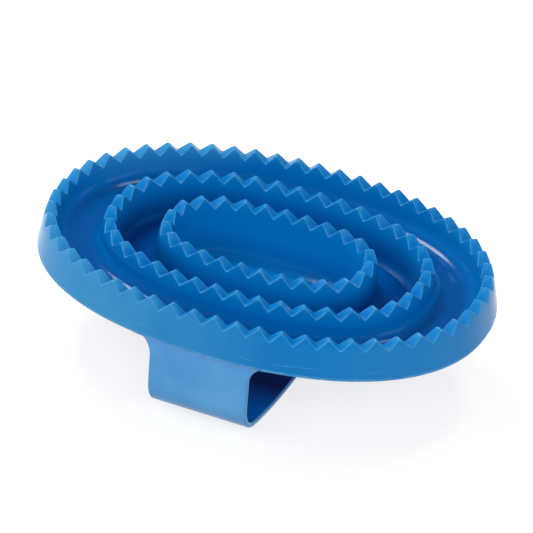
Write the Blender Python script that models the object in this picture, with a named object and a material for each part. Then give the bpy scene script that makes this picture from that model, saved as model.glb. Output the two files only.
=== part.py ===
"""Rubber curry brush: a stepped oval back plate, three saw-toothed rings and a hand strap.

The real brush is a single rubber moulding. Here its five moulded features are
five closed solids, each set a small gap from the one that carries it. Lengths
are metres and +Z is up. X runs along the oval and Y across it. The brush lies
with its teeth up, resting on the flat of its hand strap at z = 0.
"""
import math
from typing import NamedTuple

import bmesh
import bpy
import numpy as np

MM = 0.001

# Gap kept between solids that are one piece of rubber on the real moulding
SEAT_GAP = 0.3 * MM

# Inner ring, on the centre line of its wall; an exponent of 2 is a true ellipse
INNER_HALF_LENGTH = 35.7 * MM
INNER_HALF_WIDTH = 18.9 * MM
INNER_EXPONENT = 2.6
INNER_TEETH = 25

# Steps from the inner ring's centre line out to the middle ring's
MIDDLE_STEP_LENGTH = 19.5 * MM
MIDDLE_STEP_WIDTH = 15.9 * MM
MIDDLE_EXPONENT = 2.35
MIDDLE_TEETH = 38

# Steps from the middle ring's centre line out to the outer ring's
OUTER_STEP_LENGTH = 20.7 * MM
OUTER_STEP_WIDTH = 17.2 * MM
OUTER_EXPONENT = 2.23
OUTER_TEETH = 54

# Saw teeth and the tapered walls that carry them
WALL_HEIGHT = 11.0 * MM
WALL_DRAFT = math.radians(4.0)
RIM_DRAFT = math.radians(10.5)
TOOTH_DEPTH = 3.5 * MM
CREST_FLAT = 0.6 * MM
CREST_THICKNESS = 2.4 * MM
VALLEY_THICKNESS = 4.7 * MM
SHOULDER_DROP = 0.5 * MM

# Concave fillets between the walls and the floors, which end in a thin edge
FOOT_FILLET = 3.0 * MM
FOOT_EDGE = 0.4 * MM
FILLET_STEPS = 4

# Back plate, which steps down under each inner wall, and the rim's rounded lower edge
PLATE_THICKNESS = 3.0 * MM
INNER_TROUGH_STEP = 4.0 * MM
WELL_STEP = 5.3 * MM
PLATE_STATIONS = 108
RIM_EDGE_RADIUS = 1.2 * MM
RIM_EDGE_STEPS = 4

# Hand strap: a flat middle, a gentle bow to rounded corners, and straight legs
STRAP_DROP = 32.0 * MM
STRAP_WIDTH = 35.6 * MM
STRAP_THICKNESS = 1.9 * MM
STRAP_INSET = 2.2 * MM
STRAP_FLAT_LENGTH = 30.0 * MM
STRAP_BOW_ANGLE = math.radians(10.0)
STRAP_CORNER_RADIUS = 11.3 * MM
STRAP_ROOT_FLARE = 5.0 * MM
STRAP_ROOT_FILLET = 2.5 * MM
STRAP_EDGE_CHAMFER = 0.45 * MM
STRAP_BOW_STEPS = 5
STRAP_CORNER_STEPS = 10
STRAP_ROOT_STEPS = 7

# Finish
RUBBER_BLUE = (0.010, 0.160, 0.430, 1.0)
RUBBER_ROUGHNESS = 0.3
SMOOTH_UP_TO = math.radians(40.0)

QUARTER_TURN = math.radians(90.0)
OVAL_SAMPLES = 4000

# Heights that follow from the sizes above
UNDERSIDE_Z = STRAP_DROP
OUTER_TROUGH_Z = UNDERSIDE_Z + PLATE_THICKNESS
INNER_TROUGH_Z = OUTER_TROUGH_Z - INNER_TROUGH_STEP
WELL_Z = INNER_TROUGH_Z - WELL_STEP
TIP_Z = OUTER_TROUGH_Z + WALL_HEIGHT
VALLEY_Z = TIP_Z - TOOTH_DEPTH
SHOULDER_Z = VALLEY_Z - SHOULDER_DROP


class Oval(NamedTuple):
    """A rounded oval about the origin, between an ellipse and a rectangle."""
    half_length: float
    half_width: float
    exponent: float

    def grown(self, offset):
        """The same oval with its half sizes made larger by an offset."""
        return Oval(self.half_length + offset, self.half_width + offset, self.exponent)

    def point(self, angle):
        """Point of the oval at a curve angle."""
        power = 2.0 / self.exponent
        along, across = math.cos(angle), math.sin(angle)
        x = self.half_length * math.copysign(abs(along) ** power, along)
        y = self.half_width * math.copysign(abs(across) ** power, across)
        return x, y

    def distances(self):
        """Curve angles from the -X end round to it, and the distance run at each."""
        angles = np.linspace(-math.pi, math.pi, OVAL_SAMPLES + 1)
        points = np.array([self.point(angle) for angle in angles])
        steps = np.hypot(*np.diff(points, axis=0).T)
        return angles, np.concatenate([[0.0], np.cumsum(steps)])

    def angles_at(self, distances):
        """Curve angles at distances along the oval, counted from its -X end."""
        angles, run = self.distances()
        return np.interp(np.mod(distances, run[-1]), run, angles)

    def perimeter(self):
        """Length once round the oval."""
        return self.distances()[1][-1]

    def stations(self, count):
        """Points spaced evenly along the oval, the first on its -X end."""
        spacing = self.perimeter() / count
        return [self.point(angle) for angle in self.angles_at(spacing * np.arange(count))]


INNER = Oval(INNER_HALF_LENGTH, INNER_HALF_WIDTH, INNER_EXPONENT)
MIDDLE = Oval(INNER.half_length + MIDDLE_STEP_LENGTH, INNER.half_width + MIDDLE_STEP_WIDTH,
              MIDDLE_EXPONENT)
OUTER = Oval(MIDDLE.half_length + OUTER_STEP_LENGTH, MIDDLE.half_width + OUTER_STEP_WIDTH,
             OUTER_EXPONENT)


def rim_offset(z):
    """How far the sloping outer face stands out from the outer ring's centre line."""
    return VALLEY_THICKNESS / 2 + (VALLEY_Z - z) * math.tan(RIM_DRAFT)


def wall_offset(z):
    """How far a ring's plain wall face stands out from the ring's centre line."""
    return VALLEY_THICKNESS / 2 + (VALLEY_Z - z) * math.tan(WALL_DRAFT)


def trough_fillet(half_gap, floor_z):
    """Fillet radius at a wall's foot, limited by the wall and by half the gap it faces."""
    return min(FOOT_FILLET, SHOULDER_Z - floor_z, half_gap - wall_offset(floor_z) - SEAT_GAP)


def filleted_foot(fillet, floor_z, sole_z):
    """Wall face from its shoulder to a floor and on to its sole, as (offset, z) pairs."""
    centre_z = floor_z + fillet
    centre_offset = wall_offset(centre_z) + fillet / math.cos(WALL_DRAFT)
    last_turn = math.asin(1.0 - (SEAT_GAP + FOOT_EDGE) / fillet)
    rows = [(wall_offset(SHOULDER_Z), SHOULDER_Z)]
    for step in range(FILLET_STEPS + 1):
        turn = WALL_DRAFT + (last_turn - WALL_DRAFT) * step / FILLET_STEPS
        offset = centre_offset - fillet * math.cos(turn)
        rows.append((offset, centre_z - fillet * math.sin(turn)))
    rows.append((rows[-1][0], sole_z))
    return rows


def rim_face():
    """Outer face of the rim, from its shoulder down and round its lower edge."""
    edge_z = UNDERSIDE_Z + RIM_EDGE_RADIUS
    rows = [(rim_offset(SHOULDER_Z), SHOULDER_Z)]
    for step in range(RIM_EDGE_STEPS + 1):
        turn = QUARTER_TURN * step / RIM_EDGE_STEPS
        inset = RIM_EDGE_RADIUS * (1.0 - math.cos(turn))
        rows.append((rim_offset(edge_z) - inset, edge_z - RIM_EDGE_RADIUS * math.sin(turn)))
    return rows


def skin(name, sections, capped):
    """Closed mesh through sections of points, capped at its ends or joined end to end."""
    bm = bmesh.new()
    loops = [[bm.verts.new(point) for point in section] for section in sections]
    pairs = list(zip(loops, loops[1:]))
    if capped:
        bm.faces.new(loops[0])
        bm.faces.new(loops[-1])
    else:
        pairs.append((loops[-1], loops[0]))
    for first, second in pairs:
        for i, corner in enumerate(first):
            j = (i + 1) % len(first)
            bm.faces.new((corner, first[j], second[j], second[i]))
    bmesh.ops.recalc_face_normals(bm, faces=bm.faces)
    mesh = bpy.data.meshes.new(name)
    bm.to_mesh(mesh)
    bm.free()
    return mesh


def rubber(name):
    """Blue moulded rubber for one sub-part."""
    material = bpy.data.materials.new(name + "_rubber")
    material.use_nodes = True
    shader = material.node_tree.nodes["Principled BSDF"]
    shader.inputs["Base Color"].default_value = RUBBER_BLUE
    shader.inputs["Roughness"].default_value = RUBBER_ROUGHNESS
    shader.inputs["Metallic"].default_value = 0.0
    return material


def add_part(name, sections, capped):
    """Named object skinned through sections, shaded smooth, in blue rubber."""
    mesh = skin(name, sections, capped)
    mesh.shade_smooth()
    mesh.set_sharp_from_angle(angle=SMOOTH_UP_TO)
    mesh.materials.append(rubber(name))
    obj = bpy.data.objects.new(name, mesh)
    bpy.context.scene.collection.objects.link(obj)
    return obj


def back_plate(rim_reach, outer_reach, inner_reach, well_reach):
    """Oval plate of even thickness that fills the rim and steps down under each inner wall.

    The reaches are how far the feet of the walls stand out from their centre lines.
    """
    steps = [
        (INNER.grown(-well_reach), WELL_Z),
        (INNER.grown(inner_reach), INNER_TROUGH_Z),
        (MIDDLE.grown(-inner_reach), INNER_TROUGH_Z),
        (MIDDLE.grown(outer_reach), OUTER_TROUGH_Z),
        (OUTER.grown(-rim_reach - SEAT_GAP), OUTER_TROUGH_Z),
    ]
    underside = [(outline, z - PLATE_THICKNESS) for outline, z in steps]
    sections = []
    for outline, z in steps + underside[::-1]:
        sections.append([(*point, z) for point in outline.stations(PLATE_STATIONS)])
    return add_part("back_plate", sections, capped=True)


def tooth_ring(name, oval, teeth, outer_foot, inner_foot):
    """Oval wall with saw teeth evenly spaced along its top edge, one on the -X end."""
    pitch = oval.perimeter() / teeth
    crest = (CREST_THICKNESS / 2, TIP_Z)
    valley = (VALLEY_THICKNESS / 2, VALLEY_Z)
    sections = []
    for tooth in range(teeth):
        middle = tooth * pitch
        stations = [middle - CREST_FLAT / 2, middle + CREST_FLAT / 2, middle + pitch / 2]
        for angle, top in zip(oval.angles_at(stations), (crest, crest, valley)):
            outer_rows = [top] + outer_foot
            inner_rows = [(-offset, z) for offset, z in [top] + inner_foot]
            rows = outer_rows + inner_rows[::-1]
            sections.append([(*oval.grown(offset).point(angle), z) for offset, z in rows])
    return add_part(name, sections, capped=False)


def root_growth(z, radius):
    """Size that a concave fillet of this radius adds to the strap just below the rim."""
    below = UNDERSIDE_Z - z
    if below >= radius:
        return 0.0
    return radius - math.sqrt(radius ** 2 - (radius - below) ** 2)


def strap_section(y, z, turn):
    """Cross-section of the band, with chamfered edges, where its outer face passes (y, z)."""
    half = STRAP_WIDTH / 2 + root_growth(z, STRAP_ROOT_FLARE)
    thick = STRAP_THICKNESS + root_growth(z, STRAP_ROOT_FILLET)
    cut = STRAP_EDGE_CHAMFER
    corners = [(half, cut), (half, thick - cut), (half - cut, thick)]
    right = [(half - cut, 0.0)] + corners
    left = [(-x, depth) for x, depth in reversed(right)]
    inward_y, inward_z = -math.sin(turn), math.cos(turn)
    return [(x, y + depth * inward_y, z + depth * inward_z) for x, depth in right + left]


def strap_path():
    """Outer face of half the strap, from mid bottom to root, as (y, z, turn) points."""
    leg_y = OUTER.half_width + rim_offset(UNDERSIDE_Z) - STRAP_INSET
    flat_end = STRAP_FLAT_LENGTH / 2
    bow_end = leg_y - STRAP_CORNER_RADIUS * (1.0 - math.sin(STRAP_BOW_ANGLE))
    bow_radius = (bow_end - flat_end) / math.sin(STRAP_BOW_ANGLE)
    bow_rise = bow_radius * (1.0 - math.cos(STRAP_BOW_ANGLE))
    corner_z = bow_rise + STRAP_CORNER_RADIUS * math.cos(STRAP_BOW_ANGLE)
    path = [(0.0, 0.0, 0.0)]
    for step in range(STRAP_BOW_STEPS + 1):
        turn = STRAP_BOW_ANGLE * step / STRAP_BOW_STEPS
        y = flat_end + bow_radius * math.sin(turn)
        path.append((y, bow_radius * (1.0 - math.cos(turn)), turn))
    for step in range(1, STRAP_CORNER_STEPS + 1):
        turn = STRAP_BOW_ANGLE + (QUARTER_TURN - STRAP_BOW_ANGLE) * step / STRAP_CORNER_STEPS
        y = leg_y - STRAP_CORNER_RADIUS * (1.0 - math.sin(turn))
        path.append((y, corner_z - STRAP_CORNER_RADIUS * math.cos(turn), turn))
    flare_z = UNDERSIDE_Z - STRAP_ROOT_FLARE
    root_z = UNDERSIDE_Z - SEAT_GAP
    for step in range(STRAP_ROOT_STEPS + 1):
        path.append((leg_y, flare_z + (root_z - flare_z) * step / STRAP_ROOT_STEPS, QUARTER_TURN))
    return path


def hand_strap():
    """Wide rubber band across the back, hung from both long sides of the rim."""
    half = [strap_section(*point) for point in strap_path()]
    mirrored = [[(x, -y, z) for x, y, z in section] for section in half[:0:-1]]
    return add_part("hand_strap", mirrored + half, capped=True)


def main():
    for obj in list(bpy.data.objects):
        bpy.data.objects.remove(obj, do_unlink=True)
    outer_half_gap = min(OUTER_STEP_LENGTH, OUTER_STEP_WIDTH) / 2
    inner_half_gap = min(MIDDLE_STEP_LENGTH, MIDDLE_STEP_WIDTH) / 2
    outer_fillet = trough_fillet(outer_half_gap, OUTER_TROUGH_Z)
    inner_fillet = trough_fillet(inner_half_gap, INNER_TROUGH_Z)
    well_fillet = trough_fillet(INNER_HALF_WIDTH, WELL_Z)
    rim_foot = filleted_foot(outer_fillet, OUTER_TROUGH_Z, UNDERSIDE_Z)
    outer_foot = filleted_foot(outer_fillet, OUTER_TROUGH_Z, OUTER_TROUGH_Z + SEAT_GAP)
    inner_foot = filleted_foot(inner_fillet, INNER_TROUGH_Z, INNER_TROUGH_Z + SEAT_GAP)
    well_foot = filleted_foot(well_fillet, WELL_Z, WELL_Z + SEAT_GAP)
    reaches = [foot[-1][0] for foot in (rim_foot, outer_foot, inner_foot, well_foot)]
    back_plate(*reaches)
    tooth_ring("outer_tooth_ring", OUTER, OUTER_TEETH, rim_face(), rim_foot)
    tooth_ring("middle_tooth_ring", MIDDLE, MIDDLE_TEETH, outer_foot, inner_foot)
    tooth_ring("inner_tooth_ring", INNER, INNER_TEETH, inner_foot, well_foot)
    hand_strap()


main()
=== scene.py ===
"""Looks of the rubber curry brush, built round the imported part.

Lengths are metres, +Z is up, X runs along the oval and the tooth tips point up.
"""

import math
import random

import bmesh
import bpy
import numpy as np
from mathutils import Matrix, Vector


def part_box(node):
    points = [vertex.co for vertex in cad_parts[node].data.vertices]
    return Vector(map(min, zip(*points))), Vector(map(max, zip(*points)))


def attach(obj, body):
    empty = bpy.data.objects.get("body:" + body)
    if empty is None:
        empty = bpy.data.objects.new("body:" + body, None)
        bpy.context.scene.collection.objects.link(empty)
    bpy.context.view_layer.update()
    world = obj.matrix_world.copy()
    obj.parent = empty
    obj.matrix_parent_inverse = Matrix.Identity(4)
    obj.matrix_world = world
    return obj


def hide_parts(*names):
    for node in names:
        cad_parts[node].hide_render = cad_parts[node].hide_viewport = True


MM = 0.001

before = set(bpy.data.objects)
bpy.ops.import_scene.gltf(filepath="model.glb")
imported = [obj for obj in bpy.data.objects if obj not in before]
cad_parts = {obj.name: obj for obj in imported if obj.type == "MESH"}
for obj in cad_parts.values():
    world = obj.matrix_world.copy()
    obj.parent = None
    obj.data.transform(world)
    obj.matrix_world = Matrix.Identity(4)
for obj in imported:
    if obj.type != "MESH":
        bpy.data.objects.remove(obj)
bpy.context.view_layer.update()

# Heights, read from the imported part
UNDERSIDE_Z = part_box("outer_tooth_ring")[0].z
FLOOR_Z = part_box("back_plate")[1].z
TIP_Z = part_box("outer_tooth_ring")[1].z

# The web steps down from the outer trough to the inner trough and the well
PLATE_THICKNESS = 3.0 * MM
INNER_FLOOR_Z = FLOOR_Z - 4.0 * MM
WELL_FLOOR_Z = FLOOR_Z - 9.3 * MM

# Centre lines of the three walls: half length, half width, exponent, teeth
INNER_HALF_LENGTH = 35.7 * MM
INNER_HALF_WIDTH = 18.9 * MM
INNER_EXPONENT = 2.6
INNER_TEETH = 25
MIDDLE_HALF_LENGTH = 55.2 * MM
MIDDLE_HALF_WIDTH = 34.8 * MM
MIDDLE_EXPONENT = 2.35
MIDDLE_TEETH = 38
OUTER_HALF_LENGTH = 75.9 * MM
OUTER_HALF_WIDTH = 52.0 * MM
OUTER_EXPONENT = 2.23
OUTER_TEETH = 54

# Saw teeth and walls
TOOTH_DEPTH = 3.5 * MM
CREST_FLAT = 0.6 * MM
CREST_HALF = 1.2 * MM
WALL_HALF = 2.349 * MM
WALL_DRAFT = math.radians(4.0)
RIM_DRAFT = math.radians(10.5)
TAPER_DROP = 2.0 * MM
EDGE_RADIUS = 0.38 * MM
VALLEY_RADIUS = 0.4 * MM
TIP_BLUNT = 0.16 * MM
TIP_DRIFT = 0.14 * MM
RIM_FILLET = 6.0 * MM
MIDDLE_OUTER_FILLET = 4.5 * MM
MIDDLE_INNER_FILLET = 2.4 * MM
INNER_FILLET = 2.6 * MM
WELL_FILLET = 4.0 * MM
RIM_LIP = 0.7 * MM
RIM_EDGE_RADIUS = 0.5 * MM
FOOT_LIFT = 0.015 * MM
SINK = 0.3 * MM

# Share of pale colour on the rounded edges of the teeth, partly wear and partly painted
# highlight, and of painted highlight on the rim's lower edge
CREST_WEAR_AND_HIGHLIGHT = (0.15, 0.8, 0.9, 0.1)
TIP_WEAR_AND_HIGHLIGHT = 0.8
TIP_WEAR_AND_HIGHLIGHT_POWER = 6
RIM_EDGE_HIGHLIGHT = (1.0, 1.0, 0.8, 0.4, 0.0)

# Parting line left by the mould, low on the rim
FLASH_HEIGHT = 3.5 * MM
FLASH_HALF = 0.3 * MM
FLASH_RISE = 0.22 * MM
FLASH_WANDER = 0.4 * MM
FLASH_WANDER_LENGTH = 4.3 * MM
FLASH_RIPPLE = 0.25
FLASH_RIPPLE_LENGTH = 0.9 * MM

# Streaks of flash that stand up along the parting line: centre and half length along X
FLASH_STREAKS = ((-41.0 * MM, 3.5 * MM), (-20.0 * MM, 4.2 * MM), (16.5 * MM, 4.2 * MM),
                 (31.5 * MM, 8.5 * MM), (54.0 * MM, 2.0 * MM))

# Hand strap
STRAP_WIDTH = 35.6 * MM
STRAP_THICKNESS = 1.9 * MM
STRAP_LEG_Y = 54.09 * MM
STRAP_FLAT_LENGTH = 30.0 * MM
STRAP_BOW_ANGLE = math.radians(10.0)
STRAP_CORNER_RADIUS = 11.3 * MM
STRAP_ROOT_FLARE = 7.0 * MM
STRAP_FLARE_POWER = 1.5
STRAP_ROOT_FILLET = 2.5 * MM
STRAP_ROOT_LIP = 1.9 * MM
STRAP_EDGE_RADIUS = 0.7 * MM

# Points of the strap's section between which its inner face lies
STRAP_INNER_FROM = 14
STRAP_INNER_TO = 24

# Points of the strap's section on its rounded right edge, and how pale they are painted, partly
# wear and partly painted highlight
STRAP_EDGE_FROM = 5
STRAP_EDGE_TO = 13
STRAP_EDGE_WEAR_AND_HIGHLIGHT = 0.8

# Floor at the foot of each wall's face, and the fillet there
RIM_FOOT = (FLOOR_Z, RIM_FILLET)
MIDDLE_OUTER_FOOT = (FLOOR_Z, MIDDLE_OUTER_FILLET)
MIDDLE_INNER_FOOT = (INNER_FLOOR_Z, MIDDLE_INNER_FILLET)
INNER_FOOT = (INNER_FLOOR_Z, INNER_FILLET)
WELL_FOOT = (WELL_FLOOR_Z, WELL_FILLET)

VALLEY_Z = TIP_Z - TOOTH_DEPTH
QUARTER_TURN = math.radians(90.0)
OVAL_SAMPLES = 6000
SMOOTH_UP_TO = math.radians(40.0)
PLATE_SMOOTH_UP_TO = math.radians(15.0)

# Steps that the round stretches are cut into
CREST_STEPS = 3
VALLEY_STEPS = 2
FACE_STEPS = 4
FILLET_STEPS = 12
PLATE_STATIONS = 216
STRAP_EDGE_STEPS = 5
STRAP_FLAT_STEPS = 4
STRAP_BOW_STEPS = 12
STRAP_CORNER_STEPS = 24
STRAP_LEG_STEPS = 5
STRAP_FLARE_STEPS = 12

# Seeds for the small differences between the teeth of each ring
RIM_SEED = 11
MIDDLE_SEED = 23
INNER_SEED = 37

# Colours of the rubber
DEEP_BLUE = (0.0, 0.155, 0.448, 1.0)
FRESH_BLUE = (0.0, 0.171, 0.474, 1.0)
# Painted shade deep in the troughs
TROUGH_SHADE_BLUE = (0.0, 0.127, 0.420, 1.0)
# Painted shade along the bed of the outer trough
BED_SHADE_BLUE = (0.0, 0.076, 0.285, 1.0)
# The well painted paler, as if lit
WELL_LIT_BLUE = (0.0, 0.174, 0.495, 1.0)
# Painted shade at the ends of the inner trough
RECESS_SHADE_BLUE = (0.0, 0.045, 0.215, 1.0)
# Pale bloom outside, with painted sheen strongest at the left end
BLOOM_AND_SHEEN_BLUE = (0.038, 0.250, 0.505, 1.0)
# Pale edge colour: partly wear, partly painted highlight on rounded edges
WORN_AND_HIGHLIGHT_BLUE = (0.070, 0.288, 0.530, 1.0)
SPECK_BLUE = (0.080, 0.255, 0.500, 1.0)
# Strap's outer face, painted paler and redder as a sheen
STRAP_SHEEN_DEEP = (0.061, 0.268, 0.565, 1.0)
STRAP_SHEEN_FRESH = (0.074, 0.286, 0.592, 1.0)
# Pale patches, and a painted highlight along the strap's bend
RUBBED_AND_HIGHLIGHT_BLUE = (0.108, 0.350, 0.660, 1.0)
# Painted lavender sheen at the strap's root
ROOT_SHEEN_BLUE = (0.125, 0.290, 0.640, 1.0)
# Strap's inner face, without the painted sheen of its outer face
LOOP_FACE_DEEP = (0.0, 0.145, 0.560, 1.0)
LOOP_FACE_FRESH = (0.0, 0.160, 0.600, 1.0)
# Painted shade inside the strap's loop
LOOP_SHADE_BLUE = (0.010, 0.028, 0.140, 1.0)

# Gloss of the rubber, with the strap's inner face more matt
BODY_INDEX = 1.22
BODY_ROUGHNESS = 0.10
INNER_FACE_INDEX = 1.10
INNER_FACE_ROUGHNESS = 0.60
ROUGHNESS_SPREAD = 0.06

# Patterns in the rubber, in cells to a metre, and the height of its relief
MOTTLE_SCALE = 38.0
RUBBED_SCALE = 55.0
BLOOM_SCALE = 60.0
SWELL_SCALE = 95.0
SHEEN_SCALE = 210.0
SCUFF_SCALE = 420.0
SPECK_SCALE = 1900.0
GRAIN_SCALE = 2600.0
SWELL_RELIEF = 0.05 * MM
GRAIN_RELIEF = 0.012 * MM

# Studio: floor, its greys for light and for the eye, and lamps round the brush
FLOOR_HALF = 40.0
FLOOR_DROP = 0.02 * MM
PAPER_GREY = (0.60, 0.60, 0.60, 1.0)
SEEN_GREY = (0.40, 0.40, 0.40, 1.0)
SEEN_GLOW = (0.72, 0.72, 0.72, 1.0)
SURROUND_COLOUR = (1.0, 1.0, 1.0, 1.0)
SURROUND_STRENGTH = 0.12
LAMP_DISTANCE = 1.5

# Camera, fitted to the tooth tips in the photo
VIEW_AZIMUTH = math.radians(21.42)
VIEW_ELEVATION = math.radians(32.96)
VIEW_ROLL = math.radians(4.39)
VIEW_DISTANCE = 1.243
PHOTO_SIDE = 533.0
PIXELS_PER_METRE = 2975.0
TIP_CENTRE_X = 268.5
TIP_CENTRE_Y = 237.9
SENSOR = 36.0
NEAREST = 0.05
FARTHEST = 50.0


class Oval:
    """A rounded oval about the origin, between an ellipse and a rectangle."""

    def __init__(self, half_length, half_width, exponent):
        self.half_length = half_length
        self.half_width = half_width
        self.exponent = exponent
        self.angles = np.linspace(-math.pi, math.pi, OVAL_SAMPLES + 1)
        points = self.points(self.angles, 0.0)
        steps = np.hypot(*np.diff(points, axis=0).T)
        self.run = np.concatenate([[0.0], np.cumsum(steps)])
        self.perimeter = self.run[-1]

    def points(self, angles, offset):
        """Points of the oval, grown by an offset, at curve angles."""
        power = 2.0 / self.exponent
        along, across = np.cos(angles), np.sin(angles)
        x = (self.half_length + offset) * np.sign(along) * np.abs(along) ** power
        y = (self.half_width + offset) * np.sign(across) * np.abs(across) ** power
        return np.stack([x, y], axis=-1)

    def angles_at(self, distances):
        """Curve angles at distances along the oval, counted from its -X end."""
        return np.interp(np.mod(distances, self.perimeter), self.run, self.angles)

    def stations(self, offset, count):
        """Points spaced evenly along the oval grown by an offset."""
        grown = Oval(self.half_length + offset, self.half_width + offset, self.exponent)
        return grown.points(grown.angles_at(grown.perimeter * np.arange(count) / count), 0.0)


INNER = Oval(INNER_HALF_LENGTH, INNER_HALF_WIDTH, INNER_EXPONENT)
MIDDLE = Oval(MIDDLE_HALF_LENGTH, MIDDLE_HALF_WIDTH, MIDDLE_EXPONENT)
OUTER = Oval(OUTER_HALF_LENGTH, OUTER_HALF_WIDTH, OUTER_EXPONENT)


def face_offset(z, draft):
    """How far a wall face stands out from the centre line; it leans in towards the tip."""
    offset = WALL_HALF + (VALLEY_Z - z) * math.tan(draft)
    start = VALLEY_Z - TAPER_DROP
    if z <= start:
        return offset
    lean = WALL_HALF - TOOTH_DEPTH * math.tan(draft) - CREST_HALF
    return offset - lean * ((z - start) / (TIP_Z - start)) ** 2


def tooth_profile(pitch):
    """Half a tooth's outline from its crest to its valley, as (distance, z) pairs."""
    slope = math.atan2(TOOTH_DEPTH, pitch / 2 - CREST_FLAT / 2)
    rise = CREST_FLAT / 2 * math.tan(slope)
    crest_radius = rise / (1.0 / math.cos(slope) - 1.0)
    points = []
    for step in range(CREST_STEPS + 1):
        turn = slope * step / CREST_STEPS
        points.append((crest_radius * math.sin(turn),
                       TIP_Z - crest_radius * (1.0 - math.cos(turn))))
    valley_bed = VALLEY_Z + VALLEY_RADIUS * (1.0 / math.cos(slope) - 1.0)
    bottom = []
    for step in range(VALLEY_STEPS + 1):
        turn = slope * (1.0 - step / VALLEY_STEPS)
        bottom.append((pitch / 2 - VALLEY_RADIUS * math.sin(turn),
                       valley_bed + VALLEY_RADIUS * (1.0 - math.cos(turn))))
    middle = tuple((a + b) / 2 for a, b in zip(points[-1], bottom[0]))
    return points + [middle] + bottom


def grid_mesh(name, sections, closed):
    """Mesh through equal sections of points, joined end to end or capped at both ends."""
    sections = np.asarray(sections)
    count, width = sections.shape[:2]
    first = np.arange(count if closed else count - 1)
    second = (first + 1) % count
    corner = np.arange(width)
    after = (corner + 1) % width
    quads = np.stack([first[:, None] * width + corner, first[:, None] * width + after,
                      second[:, None] * width + after, second[:, None] * width + corner], axis=-1)
    faces = quads.reshape(-1, 4).tolist()
    if not closed:
        faces.append(corner[::-1].tolist())
        faces.append((corner + (count - 1) * width).tolist())
    mesh = bpy.data.meshes.new(name)
    mesh.from_pydata(sections.reshape(-1, 3).tolist(), [], faces)
    bm = bmesh.new()
    bm.from_mesh(mesh)
    bmesh.ops.recalc_face_normals(bm, faces=bm.faces)
    bm.to_mesh(mesh)
    bm.free()
    return mesh


def add_piece(name, mesh, wear_and_highlight, node, materials, smooth_up_to=SMOOTH_UP_TO):
    """Object for a mesh, with a share of pale edge colour at its points, partly wear and partly
    painted highlight, that stands in place of a CAD node.
    """
    layer = mesh.attributes.new("wear_and_highlight", "FLOAT", "POINT")
    layer.data.foreach_set("value", np.asarray(wear_and_highlight, dtype=np.float32).ravel())
    mesh.shade_smooth()
    mesh.set_sharp_from_angle(angle=smooth_up_to)
    for material in materials:
        mesh.materials.append(material)
    piece = bpy.data.objects.new(name, mesh)
    bpy.context.scene.collection.objects.link(piece)
    normals = piece.modifiers.new("even_shading", "WEIGHTED_NORMAL")
    normals.keep_sharp = True
    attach(piece, "root")
    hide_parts(node)
    return piece


def crest_rows(top_z, draft):
    """Rounded edge between a tooth's top and its face, then the face, as (offset, z, share of
    pale wear and painted highlight).
    """
    rows = []
    for step, wear_and_highlight in enumerate(CREST_WEAR_AND_HIGHLIGHT):
        turn = QUARTER_TURN * step / (len(CREST_WEAR_AND_HIGHLIGHT) - 1)
        z = top_z - EDGE_RADIUS * (1.0 - math.cos(turn))
        rows.append((face_offset(z, draft) - EDGE_RADIUS * (1.0 - math.sin(turn)), z, wear_and_highlight))
    start = rows[-1][1]
    end = VALLEY_Z - TAPER_DROP
    for step in range(1, FACE_STEPS + 1):
        z = start + (end - start) * step / FACE_STEPS
        rows.append((face_offset(z, draft), z, 0.0))
    return rows


def fillet_rows(foot):
    """Wall face down to a trough's floor, the concave fillet at its foot, and an edge below."""
    floor_z, fillet = foot
    bed_z = floor_z + FOOT_LIFT
    centre_z = bed_z + fillet
    centre_offset = face_offset(centre_z, WALL_DRAFT) + fillet / math.cos(WALL_DRAFT)
    rows = []
    start = VALLEY_Z - TAPER_DROP
    for step in range(1, FACE_STEPS):
        z = start + (centre_z - start) * step / FACE_STEPS
        rows.append((face_offset(z, WALL_DRAFT), z, 0.0))
    for step in range(FILLET_STEPS + 1):
        turn = WALL_DRAFT + (QUARTER_TURN - WALL_DRAFT) * step / FILLET_STEPS
        rows.append((centre_offset - fillet * math.cos(turn),
                     centre_z - fillet * math.sin(turn), 0.0))
    rows.append((rows[-1][0], bed_z - SINK, 0.0))
    return rows


def foot_reach(foot):
    """How far from a wall's centre line the fillet at its foot ends."""
    return fillet_rows(foot)[-1][0]


def flash_share(x):
    """How far the parting line stands up at a distance along the oval: flat, with streaks."""
    share = 0.0
    for centre, half in FLASH_STREAKS:
        share = max(share, 1.0 - ((x - centre) / half) ** 2)
    return share * (1.0 - FLASH_RIPPLE * (1.0 - math.sin(x / FLASH_RIPPLE_LENGTH)))


def rim_rows(x):
    """Rim's outer face below its teeth, with the mould's parting line, and its lower edge; the
    parting-line streaks and the lower edge are painted pale as highlights.
    """
    rows = []
    flash = flash_share(x)
    flash_z = UNDERSIDE_Z + FLASH_HEIGHT + FLASH_WANDER * math.sin(x / FLASH_WANDER_LENGTH)
    # The streaks of flash are painted pale as a highlight, as far as they stand up
    for z, share in ((flash_z + FLASH_HALF, 0.0), (flash_z, flash), (flash_z - FLASH_HALF, 0.0)):
        rows.append((face_offset(z, RIM_DRAFT) + FLASH_RISE * share, z, share))
    lip_z = UNDERSIDE_Z + RIM_EDGE_RADIUS + RIM_LIP
    lip_offset = face_offset(lip_z, RIM_DRAFT)
    rows.append((lip_offset, lip_z, 0.0))
    # Painted highlight along the lip and the rounded lower edge of the rim
    rows.append((lip_offset, lip_z - RIM_LIP / 4, 1.0))
    for step, wear_and_highlight in enumerate(RIM_EDGE_HIGHLIGHT):
        turn = QUARTER_TURN * step / (len(RIM_EDGE_HIGHLIGHT) - 1)
        rows.append((lip_offset - RIM_EDGE_RADIUS * (1.0 - math.cos(turn)),
                     lip_z - RIM_LIP - RIM_EDGE_RADIUS * math.sin(turn), wear_and_highlight))
    return rows


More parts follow.
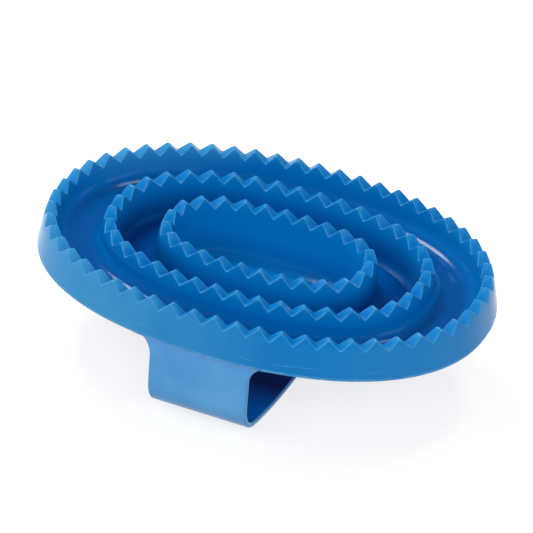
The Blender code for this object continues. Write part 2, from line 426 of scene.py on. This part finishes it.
def tooth_ring(name, node, oval, teeth, seed, outside, inside):
    """Oval saw-toothed wall; with no trough outside it is the rim, down to the underside."""
    dice = random.Random(seed)
    pitch = oval.perimeter / teeth
    half = tooth_profile(pitch)
    outline = [(-d, z) for d, z in half[:0:-1]] + half[:-1]
    sections = []
    wear_and_highlight = []
    for tooth in range(teeth):
        blunt = dice.uniform(0.0, TIP_BLUNT)
        drift = dice.uniform(-TIP_DRIFT, TIP_DRIFT)
        for distance, z in outline:
            share = (z - VALLEY_Z) / TOOTH_DEPTH
            along = tooth * pitch + distance + drift * share
            top_z = z - blunt * share
            outer = crest_rows(top_z, RIM_DRAFT if outside is None else WALL_DRAFT)
            inner = crest_rows(top_z, WALL_DRAFT) + fillet_rows(inside)
            if outside is None:
                outer += rim_rows(float(oval.points(oval.angles_at(along), 0.0)[0]))
                inner.append((inner[-1][0], UNDERSIDE_Z, 0.0))
            else:
                outer += fillet_rows(outside)
            inner = [(-offset, z, pale) for offset, z, pale in inner[::-1]]
            # Tooth tips painted pale, partly wear and partly painted highlight
            crest = [(0.0, top_z, TIP_WEAR_AND_HIGHLIGHT * max(0.0, share) ** TIP_WEAR_AND_HIGHLIGHT_POWER)]
            offsets, heights, shares = np.array(crest + outer + inner).T
            points = oval.points(np.full(len(offsets), oval.angles_at(along)), offsets)
            sections.append(np.column_stack([points, heights]))
            wear_and_highlight.append(shares)
    mesh = grid_mesh(name, sections, closed=True)
    return add_piece(name, mesh, wear_and_highlight, node, [rubber])


def plate_floor():
    """Web that steps down from the rim to the well, with the same steps on its underside."""
    count = PLATE_STATIONS
    well = INNER.stations(-foot_reach(WELL_FOOT), count)
    steps = [(well * share, WELL_FLOOR_Z) for share in (0.35, 0.7, 1.0)]
    steps.append((INNER.stations(foot_reach(INNER_FOOT), count), INNER_FLOOR_Z))
    steps.append((MIDDLE.stations(-foot_reach(MIDDLE_INNER_FOOT), count), INNER_FLOOR_Z))
    steps.append((MIDDLE.stations(foot_reach(MIDDLE_OUTER_FOOT), count), FLOOR_Z))
    steps.append((OUTER.stations(-WALL_HALF, count), FLOOR_Z))
    drop = PLATE_THICKNESS - FOOT_LIFT
    rows = steps + [(outline, z - drop) for outline, z in steps[::-1]]
    rings = [np.column_stack([outline, np.full(count, z)]) for outline, z in rows]
    mesh = grid_mesh("plate_floor", rings, closed=False)
    wear_and_highlight = np.zeros((len(rings), count))
    return add_piece("plate_floor", mesh, wear_and_highlight, "back_plate", [rubber], PLATE_SMOOTH_UP_TO)


def root_growth(z, radius):
    """Size that a concave fillet of this radius adds to the strap just below the rim."""
    below = max(0.0, UNDERSIDE_Z - z)
    if below >= radius:
        return 0.0
    return radius - math.sqrt(radius ** 2 - (radius - below) ** 2)


def across_at(x):
    """Share of the rim's half width that is left at a distance x along the oval."""
    return (1.0 - (abs(x) / OUTER_HALF_LENGTH) ** OUTER_EXPONENT) ** (1.0 / OUTER_EXPONENT)


def strap_section(y, z, turn):
    """Rounded cross-section of the band where its outer face passes (y, z)."""
    half = STRAP_WIDTH / 2 + root_growth(z, STRAP_ROOT_FLARE)
    outer = -root_growth(z, STRAP_ROOT_LIP)
    inner = STRAP_THICKNESS + root_growth(z, STRAP_ROOT_FILLET)
    radius = STRAP_EDGE_RADIUS
    right = [(half * share, outer) for share in (0.0, 0.35, 0.7, 0.9)]
    for centre, start in ((outer + radius, -QUARTER_TURN), (inner - radius, 0.0)):
        for step in range(STRAP_EDGE_STEPS + 1):
            spin = start + QUARTER_TURN * step / STRAP_EDGE_STEPS
            right.append((half - radius + radius * math.cos(spin),
                          centre + radius * math.sin(spin)))
    right += [(half * share, inner) for share in (0.9, 0.7, 0.35, 0.0)]
    left = [(-x, depth) for x, depth in right[-2:0:-1]]
    inward_y, inward_z = -math.sin(turn), math.cos(turn)
    follow = max(0.0, 1.0 - (UNDERSIDE_Z - z) / STRAP_ROOT_FLARE) ** 2
    points = []
    for x, depth in right + left:
        bend = follow * OUTER_HALF_WIDTH * (1.0 - across_at(x))
        points.append((x, y + depth * inward_y - bend, z + depth * inward_z))
    return points


def strap_path():
    """Outer face of half the strap, from mid bottom to root, as (y, z, turn) points."""
    flat_end = STRAP_FLAT_LENGTH / 2
    bow_end = STRAP_LEG_Y - STRAP_CORNER_RADIUS * (1.0 - math.sin(STRAP_BOW_ANGLE))
    bow_radius = (bow_end - flat_end) / math.sin(STRAP_BOW_ANGLE)
    bow_rise = bow_radius * (1.0 - math.cos(STRAP_BOW_ANGLE))
    corner_z = bow_rise + STRAP_CORNER_RADIUS * math.cos(STRAP_BOW_ANGLE)
    path = [(flat_end * step / STRAP_FLAT_STEPS, 0.0, 0.0) for step in range(STRAP_FLAT_STEPS)]
    for step in range(STRAP_BOW_STEPS + 1):
        turn = STRAP_BOW_ANGLE * step / STRAP_BOW_STEPS
        path.append((flat_end + bow_radius * math.sin(turn),
                     bow_radius * (1.0 - math.cos(turn)), turn))
    for step in range(1, STRAP_CORNER_STEPS + 1):
        turn = STRAP_BOW_ANGLE + (QUARTER_TURN - STRAP_BOW_ANGLE) * step / STRAP_CORNER_STEPS
        path.append((STRAP_LEG_Y - STRAP_CORNER_RADIUS * (1.0 - math.sin(turn)),
                     corner_z - STRAP_CORNER_RADIUS * math.cos(turn), turn))
    flare_z = UNDERSIDE_Z - STRAP_ROOT_FLARE
    for step in range(1, STRAP_LEG_STEPS + 1):
        z = corner_z + (flare_z - corner_z) * step / STRAP_LEG_STEPS
        path.append((STRAP_LEG_Y, z, QUARTER_TURN))
    for step in range(1, STRAP_FLARE_STEPS + 1):
        below = math.cos(QUARTER_TURN * step / STRAP_FLARE_STEPS) ** STRAP_FLARE_POWER
        z = UNDERSIDE_Z - STRAP_ROOT_FLARE * below
        path.append((STRAP_LEG_Y, z, QUARTER_TURN))
    path.append((STRAP_LEG_Y, UNDERSIDE_Z + SINK, QUARTER_TURN))
    return path


def hand_strap():
    """Wide rubber band across the back, moulded into both long sides of the rim."""
    half = [strap_section(*point) for point in strap_path()]
    mirrored = [[(x, -y, z) for x, y, z in section] for section in half[:0:-1]]
    mesh = grid_mesh("strap_band", mirrored + half, closed=False)
    around = len(half[0])
    for polygon in mesh.polygons:
        inner_side = STRAP_INNER_FROM <= polygon.index % around < STRAP_INNER_TO
        polygon.material_index = 1 if inner_side else 0
    # Strap edges painted pale, partly wear and partly painted highlight
    share = np.zeros(around)
    share[STRAP_EDGE_FROM:STRAP_EDGE_TO] = STRAP_EDGE_WEAR_AND_HIGHLIGHT
    share[around - STRAP_EDGE_TO + 1:around - STRAP_EDGE_FROM + 1] = STRAP_EDGE_WEAR_AND_HIGHLIGHT
    wear_and_highlight = np.tile(share, (len(mirrored + half), 1))
    return add_piece("strap_band", mesh, wear_and_highlight, "hand_strap", [strap_sheen, loop_shade])


class Shading:
    """Node tree of a material, with short ways to add the nodes that colour rubber."""

    def __init__(self, material):
        material.use_nodes = True
        self.nodes, self.links = material.node_tree.nodes, material.node_tree.links
        self.shader = self.nodes["Principled BSDF"]
        self.place = self.nodes.new("ShaderNodeTexCoord").outputs["Object"]
        split = self.nodes.new("ShaderNodeSeparateXYZ")
        self.links.new(self.place, split.inputs[0])
        self.x, self.y, self.z = (split.outputs[axis] for axis in "XYZ")

    def noise(self, scale, detail):
        """Cloudy value of about 0.3 to 0.7 that depends on the place."""
        node = self.nodes.new("ShaderNodeTexNoise")
        node.inputs["Scale"].default_value = scale
        node.inputs["Detail"].default_value = detail
        self.links.new(self.place, node.inputs["Vector"])
        return node.outputs["Fac"]

    def ramp(self, value, low, high, first, last):
        """Value that runs from first to last while another runs from low to high."""
        node = self.nodes.new("ShaderNodeMapRange")
        node.inputs["From Min"].default_value = low
        node.inputs["From Max"].default_value = high
        node.inputs["To Min"].default_value = first
        node.inputs["To Max"].default_value = last
        self.links.new(value, node.inputs["Value"])
        return node.outputs["Result"]

    def blend(self, factor, first, second):
        """Colour between two others, each a tuple or a socket."""
        node = self.nodes.new("ShaderNodeMix")
        node.data_type = "RGBA"
        self.links.new(factor, node.inputs[0])
        for socket, colour in ((node.inputs[6], first), (node.inputs[7], second)):
            if isinstance(colour, tuple):
                socket.default_value = colour
            else:
                self.links.new(colour, socket)
        return node.outputs[2]

    def bump(self, height, distance, normal=None):
        """Surface normal with relief added to it."""
        node = self.nodes.new("ShaderNodeBump")
        node.inputs["Strength"].default_value = 1.0
        node.inputs["Distance"].default_value = distance
        self.links.new(height, node.inputs["Height"])
        if normal is not None:
            self.links.new(normal, node.inputs["Normal"])
        return node.outputs["Normal"]

    def combine(self, operation, *values):
        """Values put together one after another by a math operation."""
        total = values[0]
        for value in values[1:]:
            node = self.nodes.new("ShaderNodeMath")
            node.operation = operation
            self.links.new(total, node.inputs[0])
            self.links.new(value, node.inputs[1])
            total = node.outputs[0]
        return total

    def reach(self, half_length, half_width):
        """Distance from the middle as a share of an ellipse's half sizes."""
        shrink = self.nodes.new("ShaderNodeVectorMath")
        shrink.operation = "MULTIPLY"
        shrink.inputs[1].default_value = (1.0 / half_length, 1.0 / half_width, 0.0)
        self.links.new(self.place, shrink.inputs[0])
        length = self.nodes.new("ShaderNodeVectorMath")
        length.operation = "LENGTH"
        self.links.new(shrink.outputs["Vector"], length.inputs[0])
        return length.outputs["Value"]


def body_tint(kit, colour):
    """Painted shade: deeper blue in the troughs and along the outer trough's bed, darker still at
    the ends of the inner trough; the well painted paler as if lit; outside, a mottled pale bloom,
    laid on most at the left end as painted sheen.
    """
    rim = kit.reach(OUTER_HALF_LENGTH, OUTER_HALF_WIDTH)
    inside = kit.ramp(rim, 1.015, 0.985, 0.0, 1.0)
    # Painted shade: deeper blue towards the trough floors
    depth = kit.ramp(kit.z, TIP_Z, FLOOR_Z, 0.0, 1.0)
    colour = kit.blend(kit.combine("MULTIPLY", inside, depth), colour, TROUGH_SHADE_BLUE)
    # Painted shade along the bed of the outer trough, outside the middle wall
    bed = kit.ramp(kit.z, FLOOR_Z + 2.0 * MM, FLOOR_Z, 0.0, 1.0)
    beyond = kit.ramp(kit.reach(MIDDLE_HALF_LENGTH, MIDDLE_HALF_WIDTH), 1.0, 1.08, 0.0, 1.0)
    colour = kit.blend(kit.combine("MULTIPLY", inside, bed, beyond), colour, BED_SHADE_BLUE)
    # The well painted paler, as if lit
    middle = kit.ramp(kit.reach(INNER_HALF_LENGTH, INNER_HALF_WIDTH), 1.25, 1.15, 0.0, 1.0)
    colour = kit.blend(kit.combine("MULTIPLY", middle, depth), colour, WELL_LIT_BLUE)
    # Painted shade at both ends of the inner trough, low down
    within = kit.ramp(kit.reach(MIDDLE_HALF_LENGTH, MIDDLE_HALF_WIDTH), 1.0, 0.92, 0.0, 1.0)
    beyond = kit.ramp(kit.reach(INNER_HALF_LENGTH, INNER_HALF_WIDTH), 1.0, 1.08, 0.0, 1.0)
    left = kit.ramp(kit.x, -0.6 * INNER_HALF_LENGTH, -1.2 * INNER_HALF_LENGTH, 0.0, 1.0)
    right = kit.ramp(kit.x, 0.6 * INNER_HALF_LENGTH, 1.2 * INNER_HALF_LENGTH, 0.0, 1.0)
    low = kit.ramp(kit.z, VALLEY_Z, INNER_FLOOR_Z + 2.0 * MM, 0.0, 1.0)
    ends = kit.combine("MAXIMUM", left, right)
    colour = kit.blend(kit.combine("MULTIPLY", within, beyond, ends, low), colour, RECESS_SHADE_BLUE)
    # Mottled pale bloom on the rim's outside, painted strongest at the left end as a sheen of the
    # light from that side
    outside = kit.ramp(rim, 0.97, 1.03, 0.0, 1.0)
    left = kit.ramp(kit.x, 0.35 * OUTER_HALF_LENGTH, -0.35 * OUTER_HALF_LENGTH, 0.0, 1.0)
    right = kit.ramp(kit.x, 0.5 * OUTER_HALF_LENGTH, OUTER_HALF_LENGTH, 0.0, 0.35)
    patch = kit.ramp(kit.noise(BLOOM_SCALE, 4.0), 0.3, 0.7, 0.55, 1.0)
    bloom_and_sheen = kit.combine("MULTIPLY", outside, kit.combine("MAXIMUM", left, right), patch)
    return kit.blend(bloom_and_sheen, colour, BLOOM_AND_SHEEN_BLUE)


def strap_tint(kit, colour):
    """Soft pale patches where the strap is handled most, a painted highlight in a band along its
    bend, and a painted lavender sheen at its root.
    """
    patch = kit.ramp(kit.noise(RUBBED_SCALE, 2.0), 0.42, 0.68, 0.0, 0.6)
    # Painted highlight in a band along the strap's bend
    highlight_band = kit.combine("MULTIPLY", kit.ramp(kit.z, 4.0 * MM, 8.0 * MM, 0.0, 1.0),
                       kit.ramp(kit.z, 15.0 * MM, 9.0 * MM, 0.0, 0.5))
    colour = kit.blend(kit.combine("MAXIMUM", patch, highlight_band), colour, RUBBED_AND_HIGHLIGHT_BLUE)
    # Painted lavender sheen at the strap's root, just under the rim
    root = kit.ramp(kit.z, UNDERSIDE_Z - 2.5 * MM, UNDERSIDE_Z - 0.8 * MM, 0.0, 1.0)
    return kit.blend(root, colour, ROOT_SHEEN_BLUE)


def loop_shade_tint(kit, colour):
    """Painted shade inside the loop: darker where the near leg bends into the bottom of the loop,
    under the brush.
    """
    # Painted shade: the loop's face turns dark between these two ramps in y
    leg = kit.ramp(kit.y, -20.0 * MM, -36.0 * MM, 0.0, 1.0)
    rest = kit.ramp(kit.y, -14.0 * MM, 0.0, 0.0, 1.0)
    return kit.blend(kit.combine("MAXIMUM", leg, rest), LOOP_SHADE_BLUE, colour)


def make_rubber(name, deep, fresh, tint, index, rough):
    """Moulded rubber: mottled, with a tint and a gloss of its own, and paler edges that are
    partly wear and partly painted highlight.
    """
    material = bpy.data.materials.new(name)
    kit = Shading(material)
    kit.shader.inputs["Metallic"].default_value = 0.0
    kit.shader.inputs["IOR"].default_value = index
    colour = kit.blend(kit.ramp(kit.noise(MOTTLE_SCALE, 3.0), 0.3, 0.7, 0.0, 1.0), deep, fresh)
    colour = tint(kit, colour)
    # Pale edges, partly wear and partly painted highlight where rounded edges would catch the
    # light
    edge = kit.nodes.new("ShaderNodeAttribute")
    edge.attribute_name = "wear_and_highlight"
    scuff = kit.ramp(kit.noise(SCUFF_SCALE, 3.0), 0.35, 0.65, 0.35, 1.0)
    colour = kit.blend(kit.combine("MULTIPLY", edge.outputs["Fac"], scuff), colour, WORN_AND_HIGHLIGHT_BLUE)
    speck = kit.ramp(kit.noise(SPECK_SCALE, 1.0), 0.72, 0.80, 0.0, 0.35)
    colour = kit.blend(speck, colour, SPECK_BLUE)
    kit.links.new(colour, kit.shader.inputs["Base Color"])
    gloss = kit.ramp(kit.noise(SHEEN_SCALE, 4.0), 0.25, 0.75, rough, rough + ROUGHNESS_SPREAD)
    kit.links.new(gloss, kit.shader.inputs["Roughness"])
    swell = kit.bump(kit.noise(SWELL_SCALE, 2.0), SWELL_RELIEF)
    grain = kit.bump(kit.noise(GRAIN_SCALE, 3.0), GRAIN_RELIEF, swell)
    kit.links.new(grain, kit.shader.inputs["Normal"])
    return material


rubber = make_rubber("blue_rubber", DEEP_BLUE, FRESH_BLUE, body_tint,
                     BODY_INDEX, BODY_ROUGHNESS)
# Strap's outer face: paler colours stand in for its sheen
strap_sheen = make_rubber("strap_sheen_rubber", STRAP_SHEEN_DEEP, STRAP_SHEEN_FRESH, strap_tint,
                      BODY_INDEX, BODY_ROUGHNESS)
# Strap's inner face, more matt, with painted shade in the loop
loop_shade = make_rubber("loop_shade_rubber", LOOP_FACE_DEEP, LOOP_FACE_FRESH, loop_shade_tint,
                        INNER_FACE_INDEX, INNER_FACE_ROUGHNESS)
tooth_ring("rim_teeth", "outer_tooth_ring", OUTER, OUTER_TEETH, RIM_SEED, None, RIM_FOOT)
tooth_ring("middle_teeth", "middle_tooth_ring", MIDDLE, MIDDLE_TEETH, MIDDLE_SEED,
           MIDDLE_OUTER_FOOT, MIDDLE_INNER_FOOT)
tooth_ring("inner_teeth", "inner_tooth_ring", INNER, INNER_TEETH, INNER_SEED,
           INNER_FOOT, WELL_FOOT)
plate_floor()
hand_strap()


def studio_floor():
    """White floor that keeps the shadow; the camera sees it as plain white elsewhere."""
    corners = [(x * FLOOR_HALF, y * FLOOR_HALF, -FLOOR_DROP)
               for x, y in ((-1, -1), (1, -1), (1, 1), (-1, 1))]
    mesh = bpy.data.meshes.new("studio_floor")
    mesh.from_pydata(corners, [], [(0, 1, 2, 3)])
    floor = bpy.data.objects.new("studio_floor", mesh)
    bpy.context.scene.collection.objects.link(floor)
    material = bpy.data.materials.new("white_floor")
    material.use_nodes = True
    nodes, links = material.node_tree.nodes, material.node_tree.links
    nodes.remove(nodes["Principled BSDF"])
    paper = nodes.new("ShaderNodeBsdfDiffuse")
    paper.inputs["Color"].default_value = PAPER_GREY
    pale = nodes.new("ShaderNodeBsdfDiffuse")
    pale.inputs["Color"].default_value = SEEN_GREY
    glow = nodes.new("ShaderNodeEmission")
    glow.inputs["Color"].default_value = SEEN_GLOW
    seen = nodes.new("ShaderNodeAddShader")
    links.new(pale.outputs[0], seen.inputs[0])
    links.new(glow.outputs[0], seen.inputs[1])
    path = nodes.new("ShaderNodeLightPath")
    glass = nodes.new("ShaderNodeMath")
    glass.operation = "MAXIMUM"
    links.new(path.outputs["Is Glossy Ray"], glass.inputs[0])
    links.new(path.outputs["Is Transmission Ray"], glass.inputs[1])
    direct = nodes.new("ShaderNodeMath")
    direct.operation = "MAXIMUM"
    links.new(path.outputs["Is Camera Ray"], direct.inputs[0])
    links.new(glass.outputs[0], direct.inputs[1])
    pick = nodes.new("ShaderNodeMixShader")
    links.new(direct.outputs[0], pick.inputs[0])
    links.new(paper.outputs[0], pick.inputs[1])
    links.new(seen.outputs[0], pick.inputs[2])
    links.new(pick.outputs[0], nodes["Material Output"].inputs["Surface"])
    mesh.materials.append(material)


def softbox(name, azimuth, elevation, width, height, radiance, shape="RECTANGLE", in_gloss=True):
    """Lamp of even brightness, turned to the brush from a direction given in degrees."""
    turn, rise = math.radians(azimuth), math.radians(elevation)
    away = Vector((math.sin(turn) * math.cos(rise), -math.cos(turn) * math.cos(rise),
                   math.sin(rise)))
    data = bpy.data.lights.new(name, "AREA")
    data.shape = shape
    data.size = width
    data.size_y = height
    fill = math.pi / 4 if shape == "ELLIPSE" else 1.0
    data.energy = radiance * math.pi * width * height * fill
    lamp = bpy.data.objects.new(name, data)
    lamp.location = Vector((0.0, 0.0, FLOOR_Z)) + away * LAMP_DISTANCE
    lamp.rotation_euler = (-away).to_track_quat("-Z", "Y").to_euler()
    lamp.visible_glossy = in_gloss
    bpy.context.scene.collection.objects.link(lamp)


def studio_light():
    """Soft surroundings, softboxes in front and at the sides, and two umbrellas behind.

    The large front lamps only light the rubber. In its gloss they would draw pale lines
    along the feet of the walls, where the photo shows the two umbrellas alone.
    """
    world = bpy.data.worlds.new("studio")
    world.use_nodes = True
    sky = world.node_tree.nodes["Background"]
    sky.inputs["Color"].default_value = SURROUND_COLOUR
    sky.inputs["Strength"].default_value = SURROUND_STRENGTH
    bpy.context.scene.world = world
    softbox("left_box", 298.0, 34.0, 1.70, 1.20, 1.35, in_gloss=False)
    softbox("left_low", 285.0, 9.0, 1.57, 0.52, 1.6)
    softbox("left_front", 335.0, 32.0, 1.60, 1.10, 0.70, in_gloss=False)
    softbox("right_box", 38.0, 30.0, 1.85, 0.98, 2.5, in_gloss=False)
    softbox("right_side", 90.0, 30.0, 0.79, 0.52, 1.7)
    softbox("right_umbrella", 154.0, 67.0, 0.54, 0.36, 10.0, "ELLIPSE")
    softbox("right_low", 120.0, 9.0, 0.79, 0.52, 1.0)
    softbox("left_umbrella", 237.0, 55.0, 0.52, 0.46, 25.0, "ELLIPSE")


def photo_camera():
    """Camera at the photo's viewing angle, aimed so that the brush sits as in the photo."""
    back = Vector((math.sin(VIEW_AZIMUTH) * math.cos(VIEW_ELEVATION),
                   -math.cos(VIEW_AZIMUTH) * math.cos(VIEW_ELEVATION),
                   math.sin(VIEW_ELEVATION)))
    level = Vector((math.cos(VIEW_AZIMUTH), math.sin(VIEW_AZIMUTH), 0.0))
    upright = back.cross(level)
    right = level * math.cos(VIEW_ROLL) + upright * math.sin(VIEW_ROLL)
    up = upright * math.cos(VIEW_ROLL) - level * math.sin(VIEW_ROLL)
    aim = Vector((0.0, 0.0, TIP_Z))
    aim += right * (PHOTO_SIDE / 2 - TIP_CENTRE_X) / PIXELS_PER_METRE
    aim -= up * (PHOTO_SIDE / 2 - TIP_CENTRE_Y) / PIXELS_PER_METRE
    data = bpy.data.cameras.new("photo_camera")
    data.sensor_width = SENSOR
    data.lens = SENSOR * PIXELS_PER_METRE * VIEW_DISTANCE / PHOTO_SIDE
    data.clip_start = NEAREST
    data.clip_end = FARTHEST
    camera = bpy.data.objects.new("photo_camera", data)
    turn = Matrix((right, up, back)).transposed().to_4x4()
    camera.matrix_world = Matrix.Translation(aim + back * VIEW_DISTANCE) @ turn
    bpy.context.scene.collection.objects.link(camera)
    bpy.context.scene.camera = camera


studio_floor()
studio_light()
photo_camera()
bpy.context.scene.view_settings.view_transform = "Standard"
